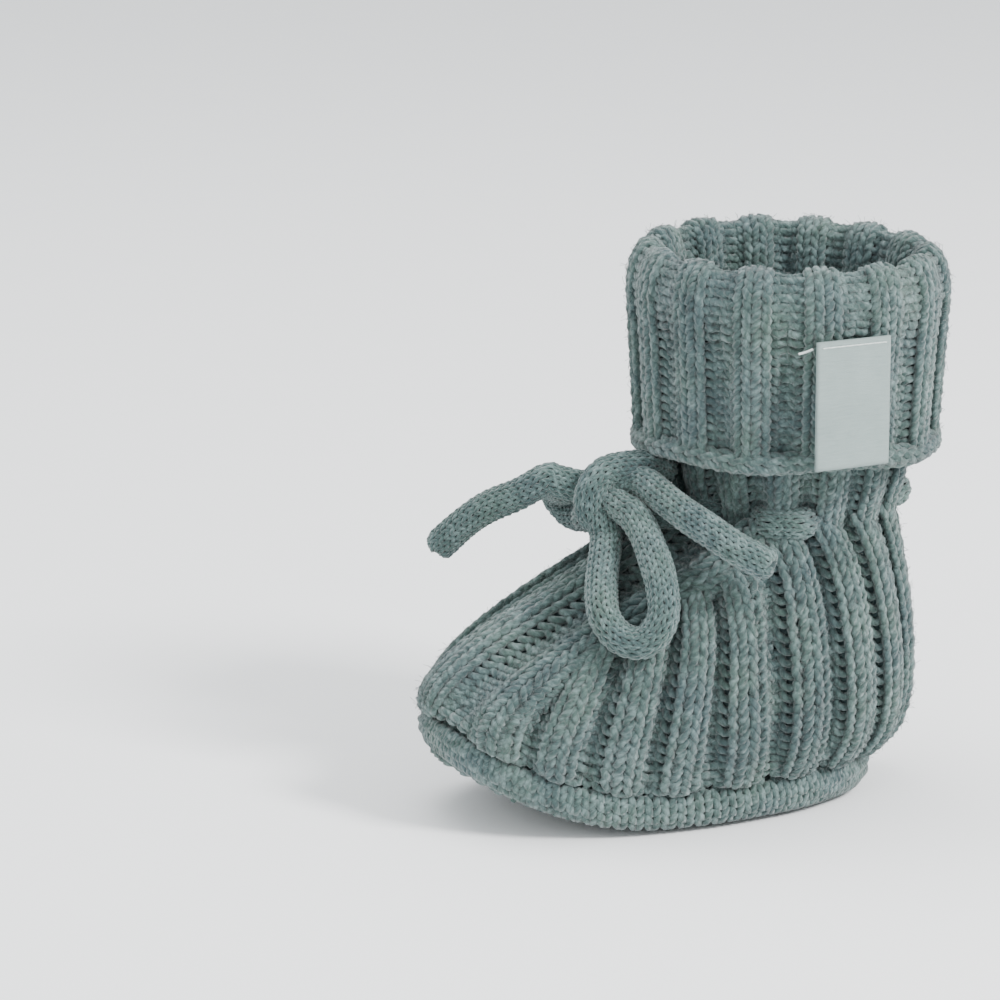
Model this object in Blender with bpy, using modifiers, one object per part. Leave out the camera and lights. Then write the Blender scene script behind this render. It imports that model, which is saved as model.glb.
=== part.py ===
"""Knitted baby bootie with a turned-down cuff, a drawcord bow and a sewn-on label.

Toe towards -Y, heel towards +Y, label side towards +X, +Z up, metres.
The origin lies on the flat underside of the sole, under the arch of the foot.
"""

import math

import bmesh
import bpy
from mathutils import Vector

MM = 0.001

# Sole: an oval knitted cup, flat under the heel and arch, curling up at the toe.
SOLE_CENTRE_Y = -9.0
SOLE_HALF_LENGTH = 45.5
SOLE_HALF_WIDTH = 26.0
SOLE_TOE_WIDENING = 1.5
SOLE_WALL = 2.6
SOLE_BAND_HEIGHT = 6.0
TOE_SPRING_START_Y = -13.0
TOE_SPRING_LENGTH = 40.0
TOE_SPRING_RISE = 12.5

# Upper: lofted from just above the sole band to the drawcord at the ankle.
UPPER_EDGE_HEIGHT = 8.2
UPPER_WALL = 2.6
ANKLE_RADIUS = 21.8
ANKLE_CENTRE_Y = 19.3
UPPER_TOP = 0.9
FLAP_HALF_ANGLE = 46.0
FLAP_TOE_NARROWING = 5.0
SEAM_RADIUS = 0.8
SEAM_GAP = 2.9

# Leg and cuff: turned about one upright axis.
LEG_AXIS_Y = 20.1
LEG_BOTTOM = 60.8
LEG_TOP = 101.0
LEG_WALL = 1.5
LEG_WIDENING = 5.2
LEG_WIDENING_HEIGHT = 17.0
CUFF_RADIUS = 31.3
CUFF_BOTTOM_RADIUS = 29.6
CUFF_BOTTOM = 70.4
CUFF_WALL = 2.2
CUFF_SHOULDER = 99.0
RIM_RISE = 9.0
INNER_LAYER_RADIUS = 23.6
INNER_LAYER_WALL = 1.5
INNER_LAYER_BOTTOM = 80.0
RIM_UNDERSIDE_RISE = 5.2
EDGE_RADIUS = 1.3
EDGE_RING_RADIUS = 28.4
EDGE_HEIGHT = 68.7

# Drawcord: a knitted cord round the ankle, tied in a bow at the front.
CORD_RADIUS = 2.8
CORD_HEIGHT = 57.4
KNOT = Vector((0.0, -18.9, 62.0))
KNOT_RADIUS = 7.2
CORD_START = 8.2
CORD_LEAD = 2.6

# Label: a folded woven tape hanging from its top edge on the side of the cuff.
LABEL_WIDTH = 16.0
LABEL_MIDDLE_Y = 19.0
LABEL_HEIGHT = 24.8
LABEL_THICKNESS = 0.8
LABEL_TOP = 95.5
LABEL_GAP = 0.3
THREAD_RADIUS = 0.25

RING_STEPS = 48

parts = None


def clear_scene():
    for obj in list(bpy.data.objects):
        bpy.data.objects.remove(obj, do_unlink=True)


def material(name, colour, roughness):
    """A plain finish for one part."""
    finish = bpy.data.materials.new(name)
    finish.use_nodes = True
    shader = finish.node_tree.nodes["Principled BSDF"]
    shader.inputs["Base Color"].default_value = (*colour, 1.0)
    shader.inputs["Roughness"].default_value = roughness
    shader.inputs["Metallic"].default_value = 0.0
    finish.diffuse_color = (*colour, 1.0)
    return finish


def add_part(name, data, finish, origin=Vector((0.0, 0.0, 0.0))):
    obj = bpy.data.objects.new(name, data)
    obj.location = origin * MM
    data.materials.append(finish)
    parts.objects.link(obj)
    return obj


def toe_spring(y):
    """How far the sole has curled up at this distance along the foot."""
    past_arch = max(0.0, TOE_SPRING_START_Y - y) / TOE_SPRING_LENGTH
    return TOE_SPRING_RISE * past_arch**2


def signed_power(value, power):
    return math.copysign(abs(value) ** power, value)


def sole_outline(turn, inset=0.0):
    """The sole's edge in plan: turn 0 is the heel, a quarter turn the label side, pi the toe."""
    along, across = math.cos(turn), math.sin(turn)
    half_width = SOLE_HALF_WIDTH - SOLE_TOE_WIDENING * along - inset
    x = half_width * signed_power(across, 0.85)
    y = SOLE_CENTRE_Y + (SOLE_HALF_LENGTH - inset) * signed_power(along, 0.95)
    return x, y


def upper_point(turn, rise):
    """The upper's outer surface: rise 0 is the sole seam and 1 the ankle.

    Each upright line is a cubic Bezier curve whose two middle points bulge by
    amounts blended between the heel, the side and the toe.
    """
    along, across = math.cos(turn), math.sin(turn)
    heel = max(0.0, along) ** 1.3
    toe = max(0.0, -along) ** 0.9
    side = 1.0 - heel - toe

    def blend(at_heel, at_side, at_toe):
        return at_heel * heel + at_side * side + at_toe * toe

    x, y = sole_outline(turn)
    start = Vector((x, y, toe_spring(y) + UPPER_EDGE_HEIGHT))
    outward = Vector((across, along, 0.0))
    end = Vector((0.0, ANKLE_CENTRE_Y, blend(57.0, 57.0, 58.0))) + outward * ANKLE_RADIUS
    low = Vector((x, y, blend(8.6, 18.0, 31.5))) + outward * blend(13.5, 5.0, 4.0)
    high = Vector((end.x, end.y, blend(37.0, 41.0, 43.5))) + outward * blend(5.0, 4.0, 22.0)
    fall = 1.0 - rise
    return (
        start * fall**3
        + low * (3.0 * rise * fall**2)
        + high * (3.0 * rise**2 * fall)
        + end * rise**3
    )


def flap_edge(rise):
    """The turn at which the instep flap meets the side panel on the label side."""
    return math.pi - math.radians(FLAP_HALF_ANGLE - FLAP_TOE_NARROWING * (1.0 - rise) ** 2)


def sheet_mesh(name, across_steps, along_steps, place):
    """A grid whose points are moved to place(across 0..1, along 0..1), joined where they meet."""
    mesh = bpy.data.meshes.new(name)
    cage = bmesh.new()
    bmesh.ops.create_grid(cage, x_segments=across_steps, y_segments=along_steps, size=0.5)
    for vertex in cage.verts:
        vertex.co = place(vertex.co.x + 0.5, vertex.co.y + 0.5) * MM
    bmesh.ops.remove_doubles(cage, verts=cage.verts, dist=1e-6)
    cage.to_mesh(mesh)
    cage.free()
    return mesh


def thicken(obj, thickness, offset=-1.0):
    wall = obj.modifiers.new("wall", "SOLIDIFY")
    wall.thickness = thickness * MM
    wall.offset = offset
    wall.use_even_offset = False
    return wall


def turned_part(name, profile, finish, axis_y, height):
    """A closed (radius, height) outline turned about an upright axis, its origin on that axis."""
    mesh = bpy.data.meshes.new(name)
    cage = bmesh.new()
    ring = [cage.verts.new((r * MM, 0.0, (z - height) * MM)) for r, z in profile]
    for first, second in zip(ring, ring[1:] + ring[:1]):
        cage.edges.new((first, second))
    cage.to_mesh(mesh)
    cage.free()
    obj = add_part(name, mesh, finish, Vector((0.0, axis_y, height)))
    turn = obj.modifiers.new("turn", "SCREW")
    turn.steps = turn.render_steps = RING_STEPS
    turn.use_merge_vertices = True
    turn.merge_threshold = 1e-5
    return obj


def smooth_route(points, step):
    """Points about a step apart on a smooth curve (Catmull-Rom) through the route's own points."""
    ends = [points[0] * 2 - points[1], *points, points[-1] * 2 - points[-2]]
    route = []
    for before, start, end, after in zip(ends, ends[1:], ends[2:], ends[3:]):
        pieces = max(1, round((end - start).length / step))
        for index in range(pieces):
            t = index / pieces
            route.append(
                (
                    start * 2.0
                    + (end - before) * t
                    + (before * 2.0 - start * 5.0 + end * 4.0 - after) * t**2
                    + (start * 3.0 - before - end * 3.0 + after) * t**3
                )
                * 0.5
            )
    return [*route, points[-1].copy()]


def tube_part(name, points, radius, finish, origin=Vector((0.0, 0.0, 0.0)), closed=False, roundness=2):
    """A round cord or thread along the points, with filled ends."""
    curve = bpy.data.curves.new(name, "CURVE")
    curve.dimensions = "3D"
    curve.bevel_depth = radius * MM
    curve.bevel_resolution = roundness
    curve.use_fill_caps = not closed
    spline = curve.splines.new("POLY")
    spline.points.add(len(points) - 1)
    for target, point in zip(spline.points, points):
        target.co = (*((point - origin) * MM), 1.0)
    spline.use_cyclic_u = closed
    return add_part(name, curve, finish, origin)


def build_sole(finish):
    """Floor and side band in one: rings from the centre out to the edge, then up the band."""
    rings = ((1.0, 0.0), (0.75, 0.0), (0.5, 0.0), (0.25, 0.0), (0.06, 0.0))
    band = ((0.6, 1.0), (-0.4, 3.0), (0.0, SOLE_BAND_HEIGHT))
    steps = len(rings) + len(band) - 1

    def place(around, outwards):
        turn = -2.0 * math.pi * around
        index = round(outwards * steps)
        if index < len(rings):
            x, y = sole_outline(turn)
            shrink = 1.0 - rings[index][0]
            x, y = x * shrink, SOLE_CENTRE_Y + (y - SOLE_CENTRE_Y) * shrink
            return Vector((x, y, toe_spring(y)))
        inset, height = band[index - len(rings)]
        x, y = sole_outline(turn, inset)
        return Vector((x, y, toe_spring(y) + height))

    mesh = sheet_mesh("sole", RING_STEPS, steps, place)
    thicken(add_part("sole", mesh, finish), SOLE_WALL)


def build_sole_seam(finish):
    points = []
    for index in range(RING_STEPS):
        turn = 2.0 * math.pi * index / RING_STEPS
        x, y = sole_outline(turn, SOLE_WALL / 2.0)
        rim = toe_spring(sole_outline(turn)[1])
        points.append(Vector((x, y, rim + (SOLE_BAND_HEIGHT + UPPER_EDGE_HEIGHT) / 2.0)))
    tube_part("sole_seam", points, SEAM_RADIUS, finish, closed=True)


def seam_turn(rise, turn):
    """Half a seam's gap at this point of the upper, as a turn."""
    step = 0.01
    pace = (upper_point(turn + step, rise) - upper_point(turn - step, rise)).length / (2.0 * step)
    return SEAM_GAP / 2.0 / pace


def build_side_panel(name, side, finish):
    """One side of the foot, from the back seam to the edge of the instep flap."""

    def place(around, up):
        rise = up * UPPER_TOP
        back = seam_turn(rise, 0.0)
        front = flap_edge(rise) - seam_turn(rise, flap_edge(rise))
        turn = back + (front - back) * around
        point = upper_point(turn, rise)
        return Vector((point.x * side, point.y, point.z))

    mesh = sheet_mesh(name, 22, 12, place)
    thicken(add_part(name, mesh, finish), UPPER_WALL, offset=1.0 if side > 0 else -1.0)


def build_instep_flap(finish):
    def place(across, up):
        rise = up * UPPER_TOP
        edge = flap_edge(rise) + seam_turn(rise, flap_edge(rise))
        return upper_point(edge + (2.0 * math.pi - 2.0 * edge) * across, rise)

    mesh = sheet_mesh("instep_flap", 14, 14, place)
    thicken(add_part("instep_flap", mesh, finish), UPPER_WALL, offset=1.0)


def build_upper_seam(name, turn_at, side, finish):
    """A joining yarn in the middle of the wall, following the gap between two panels."""
    points = []
    for index in range(15):
        rise = 0.02 + (UPPER_TOP - 0.04) * index / 14
        turn = turn_at(rise)
        point = upper_point(turn, rise)
        step = 0.01
        around = upper_point(turn + step, rise) - upper_point(turn - step, rise)
        upward = upper_point(turn, rise + step) - upper_point(turn, rise - step)
        inward = around.cross(upward).normalized()
        point = point + inward * (UPPER_WALL / 2.0)
        points.append(Vector((point.x * side, point.y, point.z)))
    tube_part(name, points, SEAM_RADIUS, finish)


def leg_radius(height):
    """The leg widens from the drawcord to the full width that it has inside the cuff."""
    widened = min(1.0, (height - LEG_BOTTOM) / LEG_WIDENING_HEIGHT)
    return ANKLE_RADIUS + LEG_WIDENING * widened


def build_leg(finish):
    heights = [LEG_BOTTOM + (LEG_TOP - LEG_BOTTOM) * index / 12 for index in range(13)]
    outside = [(leg_radius(z), z) for z in reversed(heights)]
    inside = [(leg_radius(z) - LEG_WALL, z) for z in heights]
    turned_part("leg_tube", outside + inside, finish, LEG_AXIS_Y, LEG_BOTTOM)


def half_ellipse(centre, half_width, base, rise, steps, outward_first):
    """Points over the top of an arch in the (radius, height) plane."""
    turns = [math.pi * index / steps for index in range(steps + 1)]
    sign = 1.0 if outward_first else -1.0
    return [(centre + sign * half_width * math.cos(a), base + rise * math.sin(a)) for a in turns]


def build_cuff(finish):
    """The leg's end folded out and down: an outer sleeve, a round rim and a short inner layer."""
    middle = (CUFF_RADIUS + INNER_LAYER_RADIUS) / 2.0
    arch = half_ellipse(middle, CUFF_RADIUS - middle, CUFF_SHOULDER, RIM_RISE, 10, False)
    under_out = CUFF_RADIUS - CUFF_WALL
    under_in = INNER_LAYER_RADIUS + INNER_LAYER_WALL
    under_middle = (under_out + under_in) / 2.0
    under = half_ellipse(
        under_middle, under_out - under_middle, CUFF_SHOULDER, RIM_UNDERSIDE_RISE, 8, True
    )
    sleeve_out = [(CUFF_BOTTOM_RADIUS, CUFF_BOTTOM)]
    sleeve_in = [(CUFF_BOTTOM_RADIUS - CUFF_WALL, CUFF_BOTTOM)]
    inner = [(under_in, INNER_LAYER_BOTTOM), (INNER_LAYER_RADIUS, INNER_LAYER_BOTTOM)]
    turned_part(
        "cuff", arch + sleeve_out + sleeve_in + under + inner, finish, LEG_AXIS_Y, CUFF_BOTTOM
    )
    points = []
    for index in range(RING_STEPS):
        turn = 2.0 * math.pi * index / RING_STEPS
        points.append(
            Vector(
                (
                    EDGE_RING_RADIUS * math.sin(turn),
                    LEG_AXIS_Y + EDGE_RING_RADIUS * math.cos(turn),
                    EDGE_HEIGHT,
                )
            )
        )
    tube_part(
        "cuff_edge", points, EDGE_RADIUS, finish, Vector((0.0, LEG_AXIS_Y, EDGE_HEIGHT)), closed=True
    )


def from_knot(x, y, z):
    """The first two points of a cord that leaves the knot in the direction given."""
    direction = Vector((x, y, z)).normalized()
    return [KNOT + direction * CORD_START, KNOT + direction * (CORD_START + CORD_LEAD)]


def mirrored(points):
    return [Vector((-point.x, point.y, point.z)) for point in reversed(points)]


def build_drawcord(finish):
    """Round the ankle between the upper and the leg, with both ends led forward to the knot."""
    label_side = [
        *from_knot(0.42, 0.82, -0.38),
        Vector((7.4, -5.6, 58.2)),
        Vector((13.6, 3.2, CORD_HEIGHT)),
        Vector((20.4, 10.6, CORD_HEIGHT)),
        Vector((21.4, 19.0, CORD_HEIGHT)),
        Vector((17.4, 30.6, CORD_HEIGHT)),
        Vector((9.6, 37.6, CORD_HEIGHT)),
    ]
    route = label_side + [Vector((0.0, 39.6, CORD_HEIGHT))] + mirrored(label_side)
    tube_part("drawcord", smooth_route(route, 5.0), CORD_RADIUS, finish)


def build_bow(finish):
    mesh = bpy.data.meshes.new("bow_knot")
    ball = bmesh.new()
    bmesh.ops.create_uvsphere(ball, u_segments=24, v_segments=14, radius=KNOT_RADIUS * MM)
    ball.to_mesh(mesh)
    ball.free()
    mesh.shade_smooth()
    add_part("bow_knot", mesh, finish, KNOT)

    near_loop = [
        *from_knot(0.66, -0.16, -0.73),
        Vector((15.4, -24.6, 47.2)),
        Vector((20.8, -26.0, 43.0)),
        Vector((24.6, -23.8, 39.6)),
        Vector((27.0, -19.8, 39.4)),
        Vector((27.2, -16.6, 44.0)),
        Vector((22.8, -15.8, 50.8)),
        Vector((15.4, -15.4, 56.0)),
        *reversed(from_knot(0.94, 0.25, -0.22)),
    ]
    far_loop = [
        *from_knot(-0.97, 0.03, 0.2),
        Vector((-17.0, -18.2, 61.6)),
        Vector((-23.0, -18.0, 59.0)),
        Vector((-26.4, -18.0, 54.8)),
        Vector((-23.0, -18.0, 51.2)),
        Vector((-16.0, -18.0, 52.4)),
        *reversed(from_knot(-0.78, 0.03, -0.62)),
    ]
    near_tail = [
        *from_knot(0.55, 0.65, 0.53),
        Vector((13.0, -10.8, 64.2)),
        Vector((22.0, -7.0, 60.6)),
        Vector((29.0, -2.2, 56.4)),
        Vector((33.0, 3.3, 53.0)),
    ]
    far_tail = [
        *from_knot(-0.45, -0.82, 0.36),
        Vector((-8.0, -33.0, 63.4)),
        Vector((-13.0, -39.4, 57.8)),
        Vector((-19.0, -46.6, 48.4)),
    ]
    for name, route in (
        ("near_loop", near_loop),
        ("far_loop", far_loop),
        ("near_tail", near_tail),
        ("far_tail", far_tail),
    ):
        tube_part(name, smooth_route(route, 5.0), CORD_RADIUS, finish, KNOT, roundness=3)


def build_label(tape, thread):
    """The folded tape, the thread across its top and the tack beside it."""
    back = CUFF_RADIUS + LABEL_GAP
    hinge = Vector((back + LABEL_THICKNESS / 2.0, LABEL_MIDDLE_Y, LABEL_TOP))
    mesh = bpy.data.meshes.new("label")
    block = bmesh.new()
    bmesh.ops.create_cube(block, size=1.0)
    for vertex in block.verts:
        vertex.co.x *= LABEL_THICKNESS * MM
        vertex.co.y *= LABEL_WIDTH * MM
        vertex.co.z = (vertex.co.z - 0.5) * LABEL_HEIGHT * MM
    block.to_mesh(mesh)
    block.free()
    label = add_part("label", mesh, tape, hinge)
    edges = label.modifiers.new("soft_edges", "BEVEL")
    edges.width = 0.25 * MM
    edges.segments = 2

    front = back + LABEL_THICKNESS + THREAD_RADIUS + LABEL_GAP
    half = LABEL_WIDTH / 2.0 - 1.0
    row = [
        Vector((front, LABEL_MIDDLE_Y + half * side, LABEL_TOP - 1.6)) for side in (-1.0, -0.5, 0.0, 0.5, 1.0)
    ]
    tube_part("label_thread", row, THREAD_RADIUS, thread, hinge)

    corner = LABEL_MIDDLE_Y - LABEL_WIDTH / 2.0
    tack = [
        Vector((CUFF_RADIUS - 0.2, corner - 0.7, LABEL_TOP - 0.8)),
        Vector((CUFF_RADIUS - 0.5, corner - 2.0, LABEL_TOP - 0.6)),
        Vector((CUFF_RADIUS - 0.9, corner - 3.4, LABEL_TOP - 0.7)),
    ]
    tube_part("label_tack", tack, THREAD_RADIUS, thread)


def build():
    global parts
    clear_scene()
    parts = bpy.data.collections.new("baby_bootie")
    bpy.context.scene.collection.children.link(parts)
    knit = material("sage_knit", (0.155, 0.225, 0.225), 0.95)
    seam_yarn = material("seam_yarn", (0.09, 0.14, 0.14), 0.95)
    cord = material("cord_knit", (0.17, 0.24, 0.235), 0.92)
    tape = material("label_tape", (0.45, 0.53, 0.50), 0.8)
    thread = material("pale_thread", (0.62, 0.66, 0.62), 0.75)

    build_sole(knit)
    build_sole_seam(seam_yarn)
    build_side_panel("near_side_panel", 1.0, knit)
    build_side_panel("far_side_panel", -1.0, knit)
    build_instep_flap(knit)
    build_upper_seam("near_flap_seam", flap_edge, 1.0, seam_yarn)
    build_upper_seam("far_flap_seam", flap_edge, -1.0, seam_yarn)
    build_upper_seam("back_seam", lambda rise: 0.0, 1.0, seam_yarn)
    build_leg(knit)
    build_cuff(knit)
    build_drawcord(cord)
    build_bow(cord)
    build_label(tape, thread)


build()
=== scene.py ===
"""Looks of a hand-knitted baby bootie: ribbed wool foot, leg and turned-down cuff, a knitted
drawcord tied in a bow, and a folded tape label. Lengths are in millimetres until a mesh is made.

Knitting is yarn laid stitch by stitch over a surface, in rows or as one climbing spiral, and most
of it has a thin backing of wool behind it. Turn 0 is the heel, a quarter turn is the label side
and a half turn the toe."""

import bpy
import numpy as np
from mathutils import Matrix, Vector


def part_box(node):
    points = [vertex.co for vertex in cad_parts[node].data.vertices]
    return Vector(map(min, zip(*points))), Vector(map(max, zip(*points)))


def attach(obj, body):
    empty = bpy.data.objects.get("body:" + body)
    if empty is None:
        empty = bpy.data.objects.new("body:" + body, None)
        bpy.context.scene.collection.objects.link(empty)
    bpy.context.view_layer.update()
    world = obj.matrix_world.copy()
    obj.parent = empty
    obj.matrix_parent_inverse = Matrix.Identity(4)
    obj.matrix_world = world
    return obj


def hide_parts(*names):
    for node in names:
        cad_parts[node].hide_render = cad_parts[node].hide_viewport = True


PI = np.pi
MM = 0.001

# sole and upper
SOLE_CENTRE_Y = -9.0
SOLE_HALF_LENGTH = 45.5
SOLE_HALF_WIDTH = 26.0
SOLE_TOE_WIDENING = 1.5
SOLE_SIDE_POWER, SOLE_END_POWER = 0.85, 0.95
TOE_SPRING_START_Y = -13.0
TOE_SPRING_LENGTH = 40.0
TOE_SPRING_RISE = 12.5
UPPER_EDGE_HEIGHT = 8.2
ANKLE_RADIUS = 21.8
ANKLE_CENTRE_Y = 19.3

# leg and cuff
LEG_AXIS_Y = 20.1
CUFF_AXIS_Y = 19.2
LEG_WALES = 56
LEG_FROM, LEG_TO = 54.5, 84.0
LEG_HEIGHTS = (54, 57, 60, 64, 70)
LEG_RADII = (20.8, 21.4, 22.0, 23.2, 24.2)
CUFF_BOTTOM = 70.3
CUFF_BOTTOM_RADIUS = 28.2
CUFF_SHOULDER = 99.0
CUFF_SHOULDER_RADIUS = 29.9
RIM_CENTRE_RADIUS = 26.7
RIM_RISE = 8.6
INNER_EDGE = 85.5

# knitting
YARN_RADIUS = 0.8
ROW = 1.8
SIDE_ROWS = 24
FLAP_ROWS = 32
STITCH_POINTS = 12
SIDE_KNIT_SHARE, LEG_KNIT_SHARE, CUFF_KNIT_SHARE = 0.62, 0.56, 0.51

# drawcord
CORD_DIAMETER = 6.5
CORD_HEIGHT = 57.6
KNOT = np.array([0.0, -18.9, 62.0])

# where each knit rib of the side wall stands: stitches from the heel, degrees round from the heel
# at the sole, and how many degrees farther round it has come at the ankle
RIB_STITCHES = (-2, 2, 6, 10, 14, 18, 22, 26, 30, 34, 38, 42)
RIB_AT_SOLE = (-6, 6, 17.5, 30, 45.5, 62.5, 79, 94, 108, 126, 142, 158)
RIB_TURN_ON = (-7, 7, 21, 34, 44.5, 53, 70, 70, 74, 60, 50, 40)

# edge of the instep flap: height up the wall from 0 to 1, and degrees round from the heel
FLAP_EDGE_RISE = (0, 0.6, 0.715, 0.785, 0.84, 1)
FLAP_EDGE_TURN = (140, 141, 136, 129, 124, 118)

# label
LABEL_SLANT = 0.16
LABEL_GAP = 0.24
LABEL_THICKNESS = 0.22
SEWING_STITCH = 2.0
TACK_SHIFT = np.array([0, 0.9, -1.4])

# view
VIEW_AZIMUTH, VIEW_ELEVATION = 68.0, 14.0
VIEW_DISTANCE = 730.0
VIEW_LENS = 134.6


# ---------------------------------------------------------------- surfaces


def unit(vectors):
    return vectors / np.maximum(np.linalg.norm(vectors, axis=-1, keepdims=True), 1e-9)


def signed_power(value, power):
    return np.sign(value) * np.abs(value) ** power


def toe_spring(y):
    """Height of the sole's underside: a parabola that starts before the ball of the foot."""
    return TOE_SPRING_RISE * (np.maximum(0, TOE_SPRING_START_Y - y) / TOE_SPRING_LENGTH) ** 2


def sole_outline(turn, inset=0.0):
    """Plan of the sole, a superellipse a little wider at the toe."""
    wide = SOLE_HALF_WIDTH - SOLE_TOE_WIDENING * np.cos(turn) - inset
    x = wide * signed_power(np.sin(turn), SOLE_SIDE_POWER)
    y = SOLE_CENTRE_Y + (SOLE_HALF_LENGTH - inset) * signed_power(np.cos(turn), SOLE_END_POWER)
    return x, y


def upper_point(turn, rise):
    """Outside of the upper: at each turn a cubic Bezier curve from the sole's edge to the ankle,
    its handles blended between heel, side and toe."""
    heel = np.maximum(0, np.cos(turn)) ** 1.3
    toe = np.maximum(0, -np.cos(turn)) ** 0.9

    def blend(at_heel, at_side, at_toe):
        return heel * at_heel + (1 - heel - toe) * at_side + toe * at_toe

    x, y = sole_outline(turn)
    flat = np.stack([np.sin(turn), np.cos(turn), 0 * turn], -1)
    start = np.stack([x, y, toe_spring(y) + UPPER_EDGE_HEIGHT], -1)
    end = flat * ANKLE_RADIUS + np.stack([0 * x, 0 * x + ANKLE_CENTRE_Y, blend(57, 57, 58)], -1)
    low = np.stack([x, y, blend(8.6, 18, 31.5)], -1) + flat * blend(13.5, 5, 4)[..., None]
    high = np.stack([end[..., 0], end[..., 1], blend(37, 41, 43.5)], -1)
    high = high + flat * blend(5, 4, 22)[..., None]
    t = np.asarray(rise)[..., None]
    return (
        (1 - t) ** 3 * start + 3 * t * (1 - t) ** 2 * low + 3 * t * t * (1 - t) * high + t**3 * end
    )


def flap_edge(rise):
    return np.radians(np.interp(rise, FLAP_EDGE_RISE, FLAP_EDGE_TURN))


def rib_phase(x, centre):
    """Stitches from the nearest knit rib's centre, from -2 to 2, for ribs four stitches apart."""
    return (x - centre + 2) % 4 - 2


def gathered(x, centre, share):
    """x with each knit pair spread over that share of its period, and the purl pair squeezed."""
    q = rib_phase(x, centre)
    wide = np.where(
        np.abs(q) < 1,
        q * 2 * share,
        np.sign(q) * (2 * share + (np.abs(q) - 1) * (2 - 2 * share)),
    )
    return x - q + wide


def rib_face(x, centre):
    """1 on knit stitches and -1 on purl ones, turning over smoothly between them."""
    return np.tanh(3.5 * np.cos(PI / 2 * rib_phase(x, centre)))


def rib_valley(x, centre):
    """0 on the crest of a knit rib and 1 in the purl valley beside it."""
    return 0.5 - 0.5 * np.tanh(2.0 * np.cos(PI / 2 * rib_phase(x, centre))) / np.tanh(2.0)


def side_turn(x, rise):
    at_sole = np.interp(x, RIB_STITCHES, RIB_AT_SOLE)
    return np.radians(at_sole + np.interp(x, RIB_STITCHES, RIB_TURN_ON) * rise**2)


def side_place(x, y):
    """Side wall, by stitches from the heel and rows from the sole."""
    rise = y / SIDE_ROWS
    return upper_point(side_turn(gathered(x, 2, SIDE_KNIT_SHARE), rise), np.clip(rise, -0.03, 1.03))


def side_relief(x, y):
    roll = np.clip(1 - y / 3, 0, 1)
    return -0.7 - 4.0 * rib_valley(x, 2) * (1 - 0.55 * roll) + 0.4 * roll


def side_end(y):
    """The stitch at which a row of the side wall runs under the flap's edge."""
    rise = np.clip(y / SIDE_ROWS, 0, 1)
    stitches = np.linspace(0, 42, 169)
    return np.array(
        [
            np.interp(edge, side_turn(gathered(stitches, 2, SIDE_KNIT_SHARE), level), stitches)
            for edge, level in zip(np.ravel(flap_edge(rise)), np.ravel(rise))
        ]
    ).reshape(np.shape(rise))


FLAP_FACES = ((0, 1.3, 1.7, 4.3, 4.7, 6.3, 6.7, 8), (1, 1, -1, -1, 1, 1, -1, -1))


def flap_place(x, y):
    """Instep flap, by stitches from the middle and rows from the toe: a wide middle rib, a purl
    valley each side that widens towards the toe, and a rib along each edge."""
    rise = np.clip(y / FLAP_ROWS, -0.02, 1.02)
    near_toe = np.clip(1 - rise, 0, 1) ** 3
    middle = 0.21 - 0.05 * near_toe
    outer = 0.6 + 0.05 * near_toe
    far = np.abs(x)
    spans = (
        (0, 1.5, 0 * middle, middle),
        (1.5, 4.5, middle, outer),
        (4.5, 6.5, outer, 0 * outer + 0.98),
    )
    across = 0.98 + (far - 6.5) * 0.06
    for low, high, start, end in spans:
        inside = (far >= low) & (far < high)
        across = np.where(inside, start + (far - low) / (high - low) * (end - start), across)
    return upper_point(PI - np.sign(x) * across * (PI - flap_edge(rise)), rise)


def flap_face(x, y):
    return np.interp(np.abs(x), *FLAP_FACES)


def flap_relief(x, y):
    knots = (0, 0.8, 1.4, 2.2, 3.8, 4.7, 5.2, 5.9, 6.5, 7.8)
    depths = (0.1, -0.3, -2.0, -4.9, -4.9, -2.0, -0.2, 0.0, -1.4, -4.8)
    return np.interp(np.abs(x), knots, depths) * (1 - 0.75 * np.clip(1 - y / 3, 0, 1))


def ring_point(turn, radius, height, axis=LEG_AXIS_Y):
    return np.stack([radius * np.sin(turn), axis + radius * np.cos(turn), height + 0 * turn], -1)


def leg_place(x, y):
    """Leg, by stitches round from the heel and rows up from the ankle."""
    height = LEG_FROM + y * ROW
    radius = np.interp(height, LEG_HEIGHTS, LEG_RADII)
    return ring_point(gathered(x, 2, LEG_KNIT_SHARE) * 2 * PI / LEG_WALES, radius, height)


def leg_relief(x, y):
    return -0.8 - 3.0 * rib_valley(x, 2)


def cuff_profile():
    """Radius and height down the cuff: up the outside, over the rim as half an ellipse, and down
    the inside. It gives them at equal steps with the length run so far."""
    half = CUFF_SHOULDER_RADIUS - RIM_CENTRE_RADIUS
    over = np.linspace(0, PI, 60)
    radius = np.r_[CUFF_BOTTOM_RADIUS, RIM_CENTRE_RADIUS + half * np.cos(over)]
    height = np.r_[CUFF_BOTTOM, CUFF_SHOULDER + RIM_RISE * np.sin(over)]
    radius = np.r_[radius, RIM_CENTRE_RADIUS - half - 0.2]
    height = np.r_[height, INNER_EDGE]
    return np.r_[0, np.cumsum(np.hypot(np.diff(radius), np.diff(height)))], radius, height


CUFF_RUN, CUFF_RADII, CUFF_HEIGHTS = cuff_profile()
CUFF_ROWS = int(CUFF_RUN[-1] / ROW)


def cuff_sag(turn):
    """How far the cuff's lower edge hangs below or above level, as two waves round it."""
    return 0.9 * np.cos(turn - 1.9) + 0.45 * np.sin(5 * turn)


def cuff_swell(turn):
    """How far the cuff stands out from a true circle."""
    return 0.35 * np.sin(3 * turn + 1.0) + 0.25 * np.sin(2 * turn)


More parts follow.
